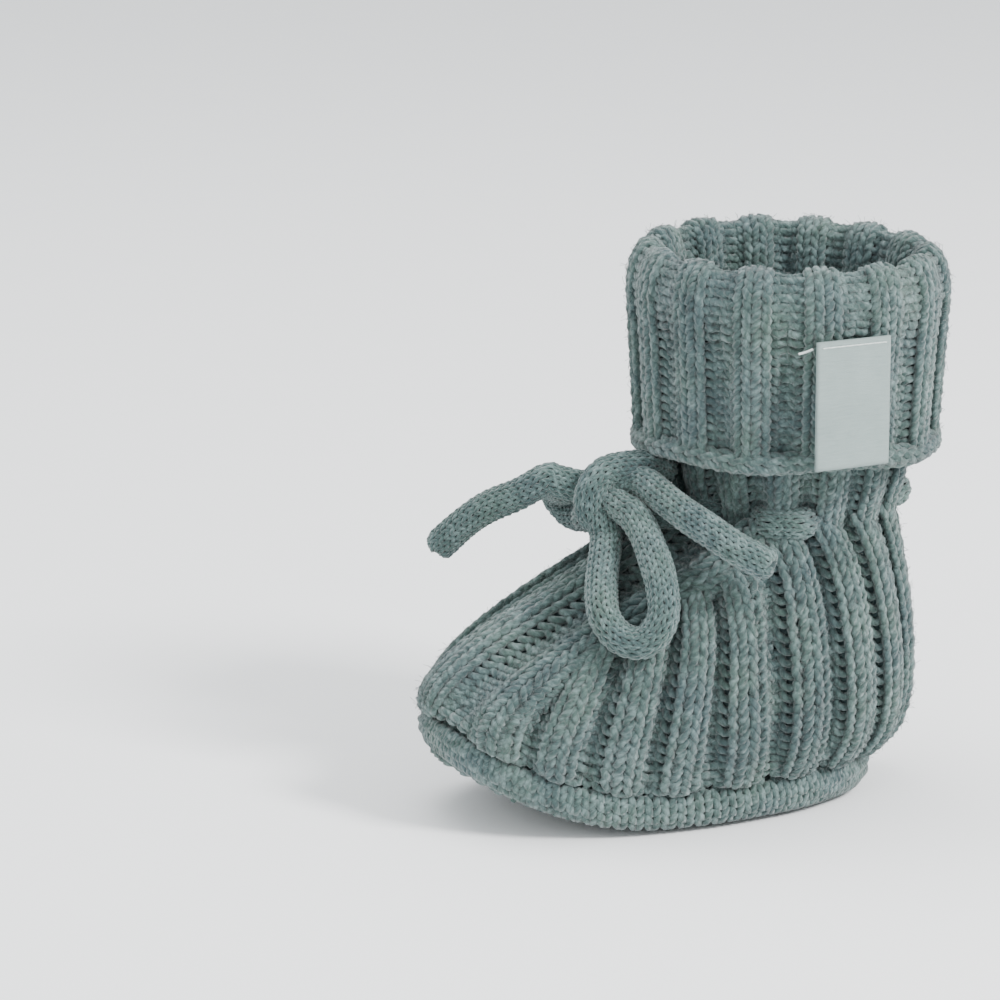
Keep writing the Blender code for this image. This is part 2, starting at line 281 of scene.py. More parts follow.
def cuff_place(x, y):
    """Cuff, by stitches round from the heel and rows from its lower edge, over the rim and in."""
    run = y * ROW
    turn = (gathered(x, 0, CUFF_KNIT_SHARE) - 0.45) * 2 * PI / LEG_WALES
    low = np.clip(1 - run / 14, 0, 1)
    radius = np.interp(run, CUFF_RUN, CUFF_RADII) + cuff_swell(turn)
    tilt = np.clip(run / 30, 0, 1) * (0.3 - 0.9 * np.sin(turn))
    height = np.interp(run, CUFF_RUN, CUFF_HEIGHTS) + low * cuff_sag(turn) + tilt
    return ring_point(turn, radius, height, CUFF_AXIS_Y)


def cuff_relief(x, y):
    """Ribs are shallower over the rim and inside."""
    run = y * ROW
    depth = np.interp(run, (0, 22, 28, 40, 46, 62), (3.0, 3.0, 1.4, 1.4, 1.9, 1.9))
    return 0.3 - depth * rib_valley(x, 0)


SOLE_STITCHES = 88
UNDER_ROW, UNDER_WALE = 2.5, 2.7
UNDER_INSET = 2.5


def band_place(x, y):
    """Side of the sole, by stitches round and rows up: a rolled edge from under to the groove."""
    turn = x * 2 * PI / SOLE_STITCHES
    inset = np.interp(y, (-0.6, 0, 1, 2, 3, 3.6), (4.2, 1.8, 0.2, 0.0, 1.0, 2.0))
    height = np.interp(y, (-0.6, 0, 1, 2, 3, 3.6), (0.5, 0.9, 2.8, 5.2, 7.4, 8.3))
    edge_x, edge_y = sole_outline(turn, inset)
    return np.stack([edge_x, edge_y, toe_spring(edge_y) + height], -1)


def under_half_width(y):
    """Half the width of the underside at that length, from the sole's outline."""
    along = np.clip((y - SOLE_CENTRE_Y) / (SOLE_HALF_LENGTH - UNDER_INSET), -1, 1)
    cosine = signed_power(along, 1 / SOLE_END_POWER)
    sine = np.sqrt(np.maximum(0, 1 - cosine**2))
    return (SOLE_HALF_WIDTH - UNDER_INSET - SOLE_TOE_WIDENING * cosine) * sine**SOLE_SIDE_POWER


def under_place(x, y):
    """Underside of the sole, by stitches from its middle line and rows from the heel."""
    along = SOLE_CENTRE_Y + SOLE_HALF_LENGTH - UNDER_INSET - y * UNDER_ROW
    return np.stack([x * UNDER_WALE, along, toe_spring(along) + 0.75], -1)


# ---------------------------------------------------------------- meshes


def outward(place, x, y, side):
    """Unit normal of a placed surface, from small steps along its two directions."""
    step = 0.02
    across = place(x + step, y) - place(x - step, y)
    up = place(x, y + step) - place(x, y - step)
    return unit(np.cross(up, across)) * side


def run_along(line):
    """Length run along a line up to each of its points."""
    return np.r_[0, np.cumsum(np.linalg.norm(np.diff(line, axis=0), axis=1))]


def tube_frame(line, facing):
    """Two unit vectors across a line: the second as near to facing as it can be."""
    along = unit(np.gradient(line, axis=0))
    across = unit(np.cross(along, facing))
    return across, np.cross(across, along)


def make_piece(name, points, corners, totals, uv=None, smooth=True):
    """Puts whole arrays into a mesh: points in millimetres, the corner list and face sizes."""
    mesh = bpy.data.meshes.new(name)
    mesh.vertices.add(len(points))
    mesh.vertices.foreach_set("co", (np.asarray(points) * MM).astype(np.float32).ravel())
    mesh.loops.add(len(corners))
    mesh.loops.foreach_set("vertex_index", np.asarray(corners, np.int32))
    totals = np.asarray(totals, np.int32)
    mesh.polygons.add(len(totals))
    mesh.polygons.foreach_set("loop_start", np.r_[0, np.cumsum(totals)[:-1]].astype(np.int32))
    mesh.polygons.foreach_set("loop_total", totals)
    mesh.polygons.foreach_set("use_smooth", np.full(len(totals), smooth))
    if uv is not None:
        layer = mesh.uv_layers.new(name="UVMap")
        layer.data.foreach_set("uv", np.asarray(uv, np.float32).ravel())
    mesh.update(calc_edges=True)
    mesh.validate()
    piece = bpy.data.objects.new(name, mesh)
    bpy.context.scene.collection.objects.link(piece)
    return piece


def tube_faces(rings, sides):
    """Corners of the four-sided faces between rings of points, then of the two end caps."""
    i, k = np.meshgrid(np.arange(rings - 1), np.arange(sides), indexing="ij")
    after = (k + 1) % sides
    quads = np.stack(
        [i * sides + k, i * sides + after, (i + 1) * sides + after, (i + 1) * sides + k], -1
    )
    caps = np.r_[np.arange(sides)[::-1], (rings - 1) * sides + np.arange(sides)]
    totals = np.r_[np.full((rings - 1) * sides, 4), sides, sides]
    return np.r_[quads.ravel(), caps], totals


def yarn_tubes(name, lines, radius, sides=6):
    """Round tubes along lines, each a pair (points, facing). A ring of points stands square to
    the line at each of its points; the map runs along the yarn in centimetres and round it."""
    points, corners, totals, maps, count = [], [], [], [], 0
    angle = np.arange(sides) * 2 * PI / sides
    for line, facing in lines:
        across, up = tube_frame(line, facing)
        ring = np.cos(angle)[:, None] * across[:, None] + np.sin(angle)[:, None] * up[:, None]
        points.append((line[:, None] + ring * radius).reshape(-1, 3))
        n = len(line)
        i, k = np.meshgrid(np.arange(n - 1), np.arange(sides), indexing="ij")
        faces, sizes = tube_faces(n, sides)
        run = run_along(line) * 0.1
        u = np.stack([run[i], run[i], run[i + 1], run[i + 1]], -1)
        v = np.stack([k, k + 1, k + 1, k], -1) / sides
        corners.append(faces + count)
        maps.append(
            np.r_[
                np.stack([u, v], -1).reshape(-1, 2),
                np.tile([0, 0.5], (sides, 1)),
                np.tile([run[-1], 0.5], (sides, 1)),
            ]
        )
        totals.append(sizes)
        count += n * sides
    return make_piece(
        name,
        np.concatenate(points),
        np.concatenate(corners),
        np.concatenate(totals),
        np.concatenate(maps),
    )


def stitch_line(place, relief, face, first, last, row, side, **loop):
    """One row of stitches as a line over a surface. Along x stitches: across = x + sway sin 4 pi x,
    up = row - reach cos 2 pi x, depth = -bulge cos 4 pi x on knit stitches and its opposite on
    purl ones. row is a number or a function of x, as where the knitting climbs in a spiral. A small
sine of the stitch's place makes the gauge uneven, and lean -1 points the stitches the other way."""
    sway, reach, bulge = loop.get("sway", 0.26), loop.get("reach", 0.98), loop.get("bulge", 0.5)
    steps = max(2, round((last - first) * loop.get("points", STITCH_POINTS)))
    x = np.linspace(first, last, steps + 1)
    level = row(x) if callable(row) else row + 0 * x
    front = face(x, level)
    gauge = 0.04 * np.sin(7.3 * np.floor(x) + 3.1 * np.floor(level))
    across = x + sway * np.sin(4 * PI * x) + gauge * 0.6
    up = level - loop.get("lean", 1) * reach * np.cos(2 * PI * x) + gauge
    normal = outward(place, across, up, side)
    depth = relief(x, level) - bulge * np.cos(4 * PI * x) * front + gauge * 2
    return place(across, up) + normal * depth[:, None], normal


def fuzz(name, place, relief, xs, ys, side, count, seed):
    """Short loose fibres over a knitted surface: each starts at a random place on it and curls
    away along it, lifting a little."""
    pick = np.random.default_rng(seed)
    x, y = pick.uniform(*xs, count), pick.uniform(*ys, count)
    normal = outward(place, x, y, side)
    root = place(x, y) + normal * (relief(x, y) + pick.uniform(0.5, 1.1, count))[:, None]
    first = unit(np.cross(normal, pick.normal(size=(count, 3))))
    second = unit(first + 0.9 * pick.normal(size=(count, 3)))
    length = pick.uniform(0.6, 1.5, count)[:, None]
    lift = pick.uniform(-0.1, 0.45, count)[:, None]
    knee = root + (first + normal * lift) * length
    tip = knee + (second * 0.8 + normal * lift * 0.4) * length
    lines = [(np.stack(points), facing) for *points, facing in zip(root, knee, tip, normal)]
    return yarn_tubes(name, lines, 0.035, 3)


def shell(name, grid, normal, thickness, wrap=False):
    """A thin closed wall: a grid of points and a copy set back along its normals, joined round
    their borders. With wrap the grid's first direction closes on itself."""
    n, m = grid.shape[:2]
    points = np.concatenate([grid.reshape(-1, 3), (grid - normal * thickness).reshape(-1, 3)])
    index = np.arange(n * m).reshape(n, m)
    rows = np.concatenate([index, index[:1]]) if wrap else index
    front = np.stack([rows[:-1, :-1], rows[1:, :-1], rows[1:, 1:], rows[:-1, 1:]], -1)
    back = front[..., ::-1] + n * m

    def rim(line):
        return np.stack([line[1:], line[:-1], line[:-1] + n * m, line[1:] + n * m], -1)

    rims = [rim(rows[:, 0]), rim(rows[::-1, -1])]
    if not wrap:
        rims += [rim(index[0, ::-1]), rim(index[-1])]
    faces = np.concatenate([front.reshape(-1, 4), back.reshape(-1, 4), *rims])
    middle = front[front.shape[0] // 2, front.shape[1] // 2]
    a, b, c = points[middle[0]], points[middle[1]], points[middle[2]]
    if np.dot(np.cross(b - a, c - b), normal[n // 2, m // 2]) < 0:
        faces = faces[:, ::-1]
    return make_piece(name, points, faces.ravel(), np.full(len(faces), 4))


def backing(name, place, relief, xs, ys, side, wrap=False, set_back=1.0, thickness=0.8):
    """The wool behind a knitted surface, following its ribs. It is dressed in the dark backing wool, which
    is painted shade seen between the stitches.
    """
    grid = place(xs, ys)
    normal = outward(place, xs, ys, side)
    return shell(name, grid + normal * (relief(xs, ys) - set_back)[..., None], normal, thickness, wrap)


def mirrored(piece, name):
    """The same piece on the other side, with its faces turned back out."""
    mesh = piece.data.copy()
    mesh.transform(Matrix.Scale(-1, 4, (1, 0, 0)))
    mesh.flip_normals()
    twin = bpy.data.objects.new(name, mesh)
    bpy.context.scene.collection.objects.link(twin)
    return twin


def smooth_route(points, spacing):
    """A Catmull-Rom curve through the points, then resampled to equal steps."""
    p = np.asarray(points, float)
    p = np.concatenate([[2 * p[0] - p[1]], p, [2 * p[-1] - p[-2]]])
    t = np.linspace(0, 1, 24, endpoint=False)[:, None]
    parts = [
        0.5
        * (
            2 * b
            + (c - a) * t
            + (2 * a - 5 * b + 4 * c - d) * t**2
            + (3 * b - a - 3 * c + d) * t**3
        )
        for a, b, c, d in zip(p[:-3], p[1:-2], p[2:-1], p[3:])
    ]
    curve = np.concatenate([*parts, p[-2:-1]])
    run = run_along(curve)
    at = np.linspace(0, run[-1], max(8, round(run[-1] / spacing)) + 1)
    return np.stack([np.interp(at, run, curve[:, i]) for i in range(3)], -1)


CORD_WALES = 10
CORD_ROW = 1.65
CORD_END_ROUNDING = 2.2
CORE_SIDES = 12


def knitted_cord(name, route, facing, ends=(False, False)):
    """A round knitted cord along a route: one yarn that climbs in a spiral of ten stitches,
    over a core. At a free end the last rows draw in."""
    route = smooth_route(route, 0.6)
    across, up = tube_frame(route, np.asarray(facing, float))
    run = run_along(route)
    length = run[-1]

    def girth(s):
        drawn = np.ones_like(s)
        for free, gap in ((ends[0], s), (ends[1], length - s)):
            if free:
                inwards = 1 - np.clip(gap, 0, CORD_END_ROUNDING) / CORD_END_ROUNDING
                drawn = np.minimum(drawn, np.sqrt(np.clip(1 - inwards**2, 0.16, 1)))
        return drawn

    def place(x, y):
        s = np.clip(y * CORD_ROW, 0, length)
        angle = x * 2 * PI / CORD_WALES
        centre, a, b = (
            np.stack([np.interp(s, run, values[:, i]) for i in range(3)], -1)
            for values in (route, across, up)
        )
        radius = (CORD_DIAMETER / 2 - 0.7) * girth(s)
        out = np.cos(angle)[..., None] * a + np.sin(angle)[..., None] * b
        return centre + out * radius[..., None]

    rows = length / CORD_ROW
    first, last = 0.0, CORD_WALES * (rows - 0.6)
    line, normal = stitch_line(
        place,
        lambda x, y: 0 * x,
        lambda x, y: 1 + 0 * x,
        first,
        last,
        lambda x: 0.3 + x / CORD_WALES,
        1,
        points=10,
        sway=0.25,
        reach=0.72,
        bulge=0.3,
    )
    angle = np.arange(CORE_SIDES) * 2 * PI / CORE_SIDES
    core_radius = (CORD_DIAMETER / 2 - 1.25) * girth(run)
    ring = np.cos(angle)[:, None] * across[:, None] + np.sin(angle)[:, None] * up[:, None]
    core = route[:, None] + ring * core_radius[:, None, None]
    inside = make_piece(name + "_core", core.reshape(-1, 3), *tube_faces(len(route), CORE_SIDES))
    outside = yarn_tubes(name, [(line, normal)], 0.45, 5)
    return outside, inside, route * MM, length


# ---------------------------------------------------------------- materials


class Channel:
    """A socket that can be added, multiplied and so on as a number, through Math nodes."""

    def __init__(self, finish, socket):
        self.finish, self.socket = finish, socket

    def math(self, operation, *values):
        return self.finish.node("ShaderNodeMath", {"operation": operation}, values)

    def __add__(self, other):
        return self.math("ADD", self, other)

    def __sub__(self, other):
        return self.math("SUBTRACT", self, other)

    def __rsub__(self, other):
        return self.math("SUBTRACT", other, self)

    def __mul__(self, other):
        return self.math("MULTIPLY", self, other)

    __radd__, __rmul__ = __add__, __mul__

    def sine(self):
        return self.math("SINE", self)

    def clamped(self):
        return self.math("MINIMUM", self.math("MAXIMUM", self, 0.0), 1.0)


class Finish:
    """A material with one Principled shader."""

    def __init__(self, name, **constants):
        self.material = bpy.data.materials.new(name)
        self.material.use_nodes = True
        self.tree = self.material.node_tree
        self.shader = self.tree.nodes["Principled BSDF"]
        for socket, value in constants.items():
            self.shader.inputs[socket.replace("_", " ")].default_value = value

    def node(self, kind, settings=None, inputs=(), output=0):
        """Adds a node: its settings, then its sockets by place or by name; gives one output."""
        made = self.tree.nodes.new(kind)
        for key, value in (settings or {}).items():
            setattr(made, key, value)
        pairs = inputs.items() if isinstance(inputs, dict) else enumerate(inputs)
        for key, value in pairs:
            if isinstance(value, Channel):
                self.tree.links.new(value.socket, made.inputs[key])
            else:
                made.inputs[key].default_value = value
        return Channel(self, made.outputs[output])

    def coordinates(self, which):
        return self.node("ShaderNodeTexCoord", output=which)

    def noise(self, vector, scale, detail=3.0, roughness=0.6):
        return self.node(
            "ShaderNodeTexNoise",
            inputs={"Vector": vector, "Scale": scale, "Detail": detail, "Roughness": roughness},
        )

    def parts(self, vector):
        split = self.tree.nodes.new("ShaderNodeSeparateXYZ")
        self.tree.links.new(vector.socket, split.inputs[0])
        return [Channel(self, output) for output in split.outputs]

    def mix(self, factor, first, second):
        return self.node(
            "ShaderNodeMix",
            {"data_type": "RGBA"},
            {0: factor, 6: first, 7: second},
            output=2,
        )

    def bump(self, height, distance, strength=1.0):
        return self.node(
            "ShaderNodeBump", inputs={"Height": height, "Distance": distance, "Strength": strength}
        )

    def feed(self, **channels):
        for socket, channel in channels.items():
            self.tree.links.new(channel.socket, self.shader.inputs[socket.replace("_", " ")])
        return self


def colour(red, green, blue):
    return (red, green, blue, 1.0)


WOOL_DARK = colour(0.015, 0.029, 0.031)
WOOL_MID = colour(0.060, 0.098, 0.101)
WOOL_GREEN = colour(0.064, 0.107, 0.090)
WOOL_LIGHT = colour(0.190, 0.262, 0.258)


def wool(name, plies_per_cm, dark, mid, light, bump=0.16):
    """Soft two-ply wool: heathered fibres along the yarn, twisted plies, and a fuzzy sheen."""
    finish = Finish(name, Sheen_Weight=0.35, Sheen_Roughness=0.45, Specular_IOR_Level=0.2)
    along, around, _ = finish.parts(finish.coordinates("UV"))
    place = finish.coordinates("Object")
    twist = along * (2 * PI * plies_per_cm) + around * (4 * PI)
    plies = twist.sine() * 0.5 + 0.5
    fibre_space = finish.node(
        "ShaderNodeCombineXYZ", inputs=(along * 4.0, around * 6.0 + along * (plies_per_cm * 3.0), 0.0)
    )
    fibres = finish.noise(fibre_space, 3.0, 4.0, 0.7)
    heather = finish.noise(place, 420.0, 3.0, 0.65)
    drift = finish.noise(place, 45.0, 2.0, 0.5)
    fuzz = finish.noise(place, 2600.0, 2.0, 0.7)
    shade = (fibres - 0.5) * 1.5 + (heather - 0.5) * 1.2 + plies * 0.18 + (drift - 0.5) * 0.5 + 0.42
    hue = finish.noise(place, 90.0, 3.0, 0.6)
    middle = finish.mix((hue * 3.0 - 1.0).clamped(), mid, WOOL_GREEN)
    lower = finish.mix((shade * 2.0).clamped(), dark, middle)
    tone = finish.mix((shade * 2.0 - 1.0).clamped(), lower, light)
    height = plies * 0.5 + fibres * 1.0 + fuzz * 0.35
    return finish.feed(
        Base_Color=tone,
        Roughness=0.98 - fibres * 0.2,
        Normal=finish.bump(height, bump * MM),
    ).material


def wool_backing_painted_shade(name):
    """The wool seen between stitches and inside the leg, coloured darker than the yarn as painted shade:
    small bumps in rows.
    """
    finish = Finish(name, Sheen_Weight=0.2, Sheen_Roughness=0.5, Specular_IOR_Level=0.15)
    place = finish.coordinates("Object")
    bumps = finish.noise(place, 520.0, 3.0, 0.6)
    fibres = finish.noise(place, 2400.0, 3.0, 0.7)
    # both colours are darker than the yarn's: painted shade for the gaps between stitches, the inside of
    # the leg and the cords' cores
    tone = finish.mix(
        (bumps * 1.8 - 0.4).clamped(), colour(0.014, 0.025, 0.026), colour(0.052, 0.086, 0.085)
    )
    return finish.feed(
        Base_Color=tone,
        Roughness=0.98 - bumps * 0.1,
        Normal=finish.bump(bumps + fibres * 0.4, 0.5 * MM),
    ).material


def label_tape(name):
    """Smooth woven tape: fine crossing threads, a soft matt satin and faint shading."""
    finish = Finish(name, Sheen_Weight=0.15, Sheen_Roughness=0.4, Specular_IOR_Level=0.35)
    place = finish.coordinates("Object")
    _, y, z = finish.parts(place)
    warp = (y * (2 * PI / (0.26 * MM))).sine()
    weft = (z * (2 * PI / (0.34 * MM))).sine()
    weave = warp * weft
    wear = finish.noise(place, 160.0, 4.0, 0.6)
    slub_space = finish.node("ShaderNodeCombineXYZ", inputs=(0.0, y * 300.0, z * 2600.0))
    slubs = finish.noise(slub_space, 1.0, 3.0, 0.6)
    tone = finish.mix(
        (weave * 0.25 + slubs * 0.5 + wear * 0.5).clamped(),
        colour(0.190, 0.260, 0.250),
        colour(0.390, 0.470, 0.450),
    )
    return finish.feed(
        Base_Color=tone,
        Roughness=0.62 + wear * 0.2,
        Normal=finish.bump(weave * 0.4 + slubs * 0.8 + wear, 0.16 * MM),
    ).material


def sewing_thread(name):
    finish = Finish(name, Sheen_Weight=0.1, Specular_IOR_Level=0.4)
    along, around, _ = finish.parts(finish.coordinates("UV"))
    twist = (along * (2 * PI * 22) + around * (4 * PI)).sine()
    tone = finish.mix(twist * 0.25 + 0.6, colour(0.42, 0.50, 0.48), colour(0.76, 0.80, 0.77))
    return finish.feed(
        Base_Color=tone, Roughness=0.55 + twist * 0.08, Normal=finish.bump(twist, 0.03 * MM)
    ).material


def floor_finish(name):
    finish = Finish(name, Specular_IOR_Level=0.2)
    grain = finish.noise(finish.coordinates("Object"), 30.0, 3.0, 0.5)
    tone = finish.mix(grain, colour(0.93, 0.935, 0.935), colour(0.95, 0.95, 0.95))
    return finish.feed(Base_Color=tone, Roughness=0.7 + grain * 0.05).material


def dress(piece, material, body, replaces=()):
    piece.data.materials.clear()
    piece.data.materials.append(material)
    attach(piece, body)
    if replaces:
        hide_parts(*replaces)
    return piece


# ---------------------------------------------------------------- scene

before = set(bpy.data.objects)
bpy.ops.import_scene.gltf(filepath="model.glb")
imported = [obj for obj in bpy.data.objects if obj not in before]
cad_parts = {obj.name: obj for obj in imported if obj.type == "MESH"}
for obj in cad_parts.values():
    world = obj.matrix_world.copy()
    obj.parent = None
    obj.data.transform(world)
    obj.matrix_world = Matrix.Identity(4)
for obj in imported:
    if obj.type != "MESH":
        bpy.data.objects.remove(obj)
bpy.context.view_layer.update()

YARN = wool("wool_yarn", 6.0, WOOL_DARK, WOOL_MID, WOOL_LIGHT, 0.26)
CORD_YARN = wool("cord_yarn", 8.0, WOOL_DARK, WOOL_MID, WOOL_LIGHT, 0.12)
BACKING_PAINTED_SHADE = wool_backing_painted_shade("wool_backing_painted_shade")
TAPE = label_tape("label_tape")
THREAD = sewing_thread("label_thread")


def make_camera():
    """The camera looks at the ankle from the label side, a little towards the toe."""
    azimuth, elevation = np.radians([VIEW_AZIMUTH, VIEW_ELEVATION])
    back = Vector(
        (
            np.sin(azimuth) * np.cos(elevation),
            -np.cos(azimuth) * np.cos(elevation),
            np.sin(elevation),
        )
    )
    right = Vector((np.cos(azimuth), np.sin(azimuth), 0))
    up = back.cross(right)
    target = Vector((0, -3, 50))
    aim = target - right * 34.7 + up * 8.6
    camera = bpy.data.objects.new("camera", bpy.data.cameras.new("camera"))
    bpy.context.scene.collection.objects.link(camera)
    camera.location = (target + back * VIEW_DISTANCE) * MM
    facing = (aim * MM - camera.location).normalized()
    camera.rotation_euler = facing.to_track_quat("-Z", "Y").to_euler()
    camera.data.lens = VIEW_LENS
    camera.data.sensor_width = 36
    camera.data.clip_start = 0.01
    bpy.context.scene.camera = camera


make_camera()


# drawcord, bow and tails


def from_knot(x, y, z, *reaches):
    """Points at those reaches from the knot's middle, in one direction."""
    direction = unit(np.array([x, y, z], float))
    return [KNOT + direction * reach for reach in reaches]


def ankle_cord():
    """The cord round the ankle, threaded through the knitting: outside it over one rib each side
    of the front and across the heel, and inside it between."""
    turn = np.radians(np.linspace(150, -150, 61))
    degrees = np.abs(np.degrees(turn))
    outside = np.interp(degrees, (0, 16, 26, 95, 104, 121, 130, 150), (1, 1, 0, 0, 1, 1, 0, 0))
    outside = outside * outside * (3 - 2 * outside)
    radius = 15.2 + outside * np.interp(degrees, (0, 60, 90), (7.2, 6.6, 6.3))
    height = CORD_HEIGHT + 0.8 * outside * np.interp(degrees, (0, 60, 90), (2.2, 1, 0.3))
    ring = np.stack(
        [radius * np.sin(turn), ANKLE_CENTRE_Y + radius * np.cos(turn), height], -1
    )
    start = from_knot(0.42, 0.82, -0.38, 4, 9)
    end = from_knot(-0.42, 0.82, -0.38, 9, 4)
    return np.concatenate([start, ring, end])


CORDS = {
    "drawcord": (ankle_cord(), (0, 0, 1), (False, False), "foot", "taut", "object"),
    "near_loop": (
        [
            *from_knot(0.66, -0.16, -0.73, 2.5, 8.2, 10.8),
            (15.4, -24.6, 47.2),
            (20.8, -26, 43),
            (24.6, -23.8, 39.6),
            (27, -19.8, 39.4),
            (27.2, -16.6, 44),
            (22.8, -15.8, 50.8),
            (15.4, -15.4, 56),
            *from_knot(0.94, 0.25, -0.22, 10.8, 8.2, 2.5),
        ],
        (0.7, -0.6, 0.4),
        (False, False),
        "near_loop",
        "hanging",
        "object",
    ),
    "far_loop": (
        [
            *from_knot(-0.97, 0.03, -0.1, 2.5, 8.2, 10.8),
            (-17, -19.8, 59),
            (-23, -19.6, 57.4),
            (-26.0, -18, 54.6),
            (-23, -16, 52.2),
            (-16, -15.2, 53.6),
            *from_knot(-0.78, 0.03, -0.62, 10.8, 8.2, 2.5),
        ],
        (0, -1, 0.1),
        (False, False),
        "far_loop",
        "hanging",
        "object",
    ),
    "near_tail": (
        [
            *from_knot(0.6, 0.7, 0.34, 1.5, 8.2),
            (13, -10.8, 62.8),
            (22, -7, 59.5),
            (29, -2.2, 56),
            (33, 3.3, 53),
        ],
        (0.6, 0.1, 1),
        (False, True),
        "near_tail",
        "hanging",
        "bare",
    ),
    "far_tail": (
        [
            *from_knot(-0.45, -0.86, 0.22, 1.5, 8.2, 10.8),
            (-8, -33, 60.9),
            (-13, -39.4, 56.8),
            (-19, -46.6, 48.4),
        ],
        (0.8, -0.2, 0.6),
        (False, True),
        "far_tail",
        "hanging",
        "bare",
    ),
}

for cord_name, (route, facing, ends, body, lay, far_end) in CORDS.items():
    knit, core, path, cord_length = knitted_cord(cord_name + "_knit", route, facing, ends)
    dress(knit, CORD_YARN, body, (cord_name,))
    # the core wears the dark backing wool: painted shade between the cord's stitches
    dress(core, BACKING_PAINTED_SHADE, body)


def bow_wrap():
    """The cord's turn round the middle of the bow, bulging over it from the top to the toe side."""
    azimuth, elevation = np.radians([VIEW_AZIMUTH, VIEW_ELEVATION])
    out = np.array(
        [
            np.sin(azimuth) * np.cos(elevation),
            -np.cos(azimuth) * np.cos(elevation),
            np.sin(elevation),
        ]
    )
    right = np.array([np.cos(azimuth), np.sin(azimuth), 0])
    up = np.cross(out, right)
    steps_right_up_out = (
        (12.4, 4.6, -5.4),
        (8.2, 5.2, 0.2),
        (1.4, 4.1, 3.6),
        (-1.6, 0.4, 4.2),
        (-1.9, -3.8, 2.4),
        (0.2, -5.6, -2.6),
        (4.5, -4.6, -7.2),
    )
    route = [KNOT + right * r + up * u + out * o for r, u, o in steps_right_up_out]
    knit, core, _, _ = knitted_cord("bow_wrap_knit", route, out)
    dress(knit, CORD_YARN, "foot", ("bow_knot",))
    dress(core, BACKING_PAINTED_SHADE, "foot")


bow_wrap()


# foot


def side_wall():
    """Rows of ribbing from the heel to the flap's edge, and the same on the other side."""
    lines = []
    for row in np.arange(SIDE_ROWS) + 0.7:
        end = float(side_end(np.array([row]))[0]) + 0.4
        lines.append(
            stitch_line(side_place, side_relief, lambda x, y: rib_face(x, 2), 0.0, end, row, 1)
        )
    near = yarn_tubes("near_side_knit", lines, YARN_RADIUS)
    levels = np.linspace(-0.3, SIDE_ROWS + 0.3, 44)
    share = np.linspace(0, 1, 150)
    ends = side_end(levels)
    xs = share[:, None] * (ends[None] + 0.6)
    ys = np.broadcast_to(levels[None], xs.shape)
    back = backing("near_side_backing", side_place, side_relief, xs, ys, 1)
    for piece, other, cad in (
        (near, mirrored(near, "far_side_knit"), "side_panel"),
        (back, mirrored(back, "far_side_backing"), None),
    ):
        dress(piece, YARN if cad else BACKING_PAINTED_SHADE, "foot", ("near_" + cad,) if cad else ())
        dress(other, YARN if cad else BACKING_PAINTED_SHADE, "foot", ("far_" + cad,) if cad else ())


def instep_flap():
    """Rows of ribbing across the instep, from the toe up to the ankle."""
    lines = [
        stitch_line(flap_place, flap_relief, flap_face, -7.5, 7.5, j + 0.7, -1, lean=-1)
        for j in range(FLAP_ROWS)
    ]
    dress(yarn_tubes("instep_flap_knit", lines, YARN_RADIUS), YARN, "foot", ("instep_flap",))
    xs, ys = np.meshgrid(np.linspace(-7.6, 7.6, 77), np.linspace(-0.2, FLAP_ROWS + 0.2, 56), indexing="ij")
    dress(backing("instep_flap_backing", flap_place, flap_relief, xs, ys, -1), BACKING_PAINTED_SHADE, "foot")


def leg():
    """One yarn of ribbing that climbs round the leg, from the ankle up into the cuff."""
    rows = int((LEG_TO - LEG_FROM) / ROW)
    line = stitch_line(
        leg_place,
        leg_relief,
        lambda x, y: rib_face(x, 2),
        0.0,
        LEG_WALES * float(rows),
        lambda x: 0.5 + x / LEG_WALES,
        1,
    )
    dress(yarn_tubes("leg_knit", [line], YARN_RADIUS), YARN, "foot", ("leg_tube",))
    xs, ys = np.meshgrid(
        np.arange(LEG_WALES * 4) / 4.0, np.linspace(0, rows + 1.5, 28), indexing="ij"
    )
    dress(
        backing("leg_backing", leg_place, leg_relief, xs, ys, 1, wrap=True), BACKING_PAINTED_SHADE, "foot"
    )


def sole_band():
    """Four rows of plain knitting round the side of the sole."""
    lines = [
        stitch_line(
            band_place,
            lambda x, y: -0.7 + 0 * x,
            lambda x, y: 1 + 0 * x,
            0.0,
            float(SOLE_STITCHES),
            row,
            1,
            sway=0.24,
            reach=0.62,
            bulge=0.5,
        )
        for row in (0.4, 1.2, 2.0, 2.75)
    ]
    dress(yarn_tubes("sole_band_knit", lines, YARN_RADIUS), YARN, "foot", ("sole",))


def sole_under():
    """Rows of plain knitting across the underside, each as long as the sole is wide there."""
    lines = []
    for row in np.arange(0.7, 2 * (SOLE_HALF_LENGTH - UNDER_INSET) / UNDER_ROW - 0.4):
        along = SOLE_CENTRE_Y + SOLE_HALF_LENGTH - UNDER_INSET - row * UNDER_ROW
        reach = np.floor(2 * float(under_half_width(np.array(along)) - 3) / UNDER_WALE) / 2
        if reach < 1:
            continue
        lines.append(
            stitch_line(
                under_place,
                lambda x, y: 0 * x,
                lambda x, y: -1 + 0 * x,
                -reach,
                reach,
                row,
                -1,
                bulge=0.35,
                reach=0.6,
            )
        )
    dress(yarn_tubes("sole_under_knit", lines, YARN_RADIUS * 0.9), YARN, "foot")


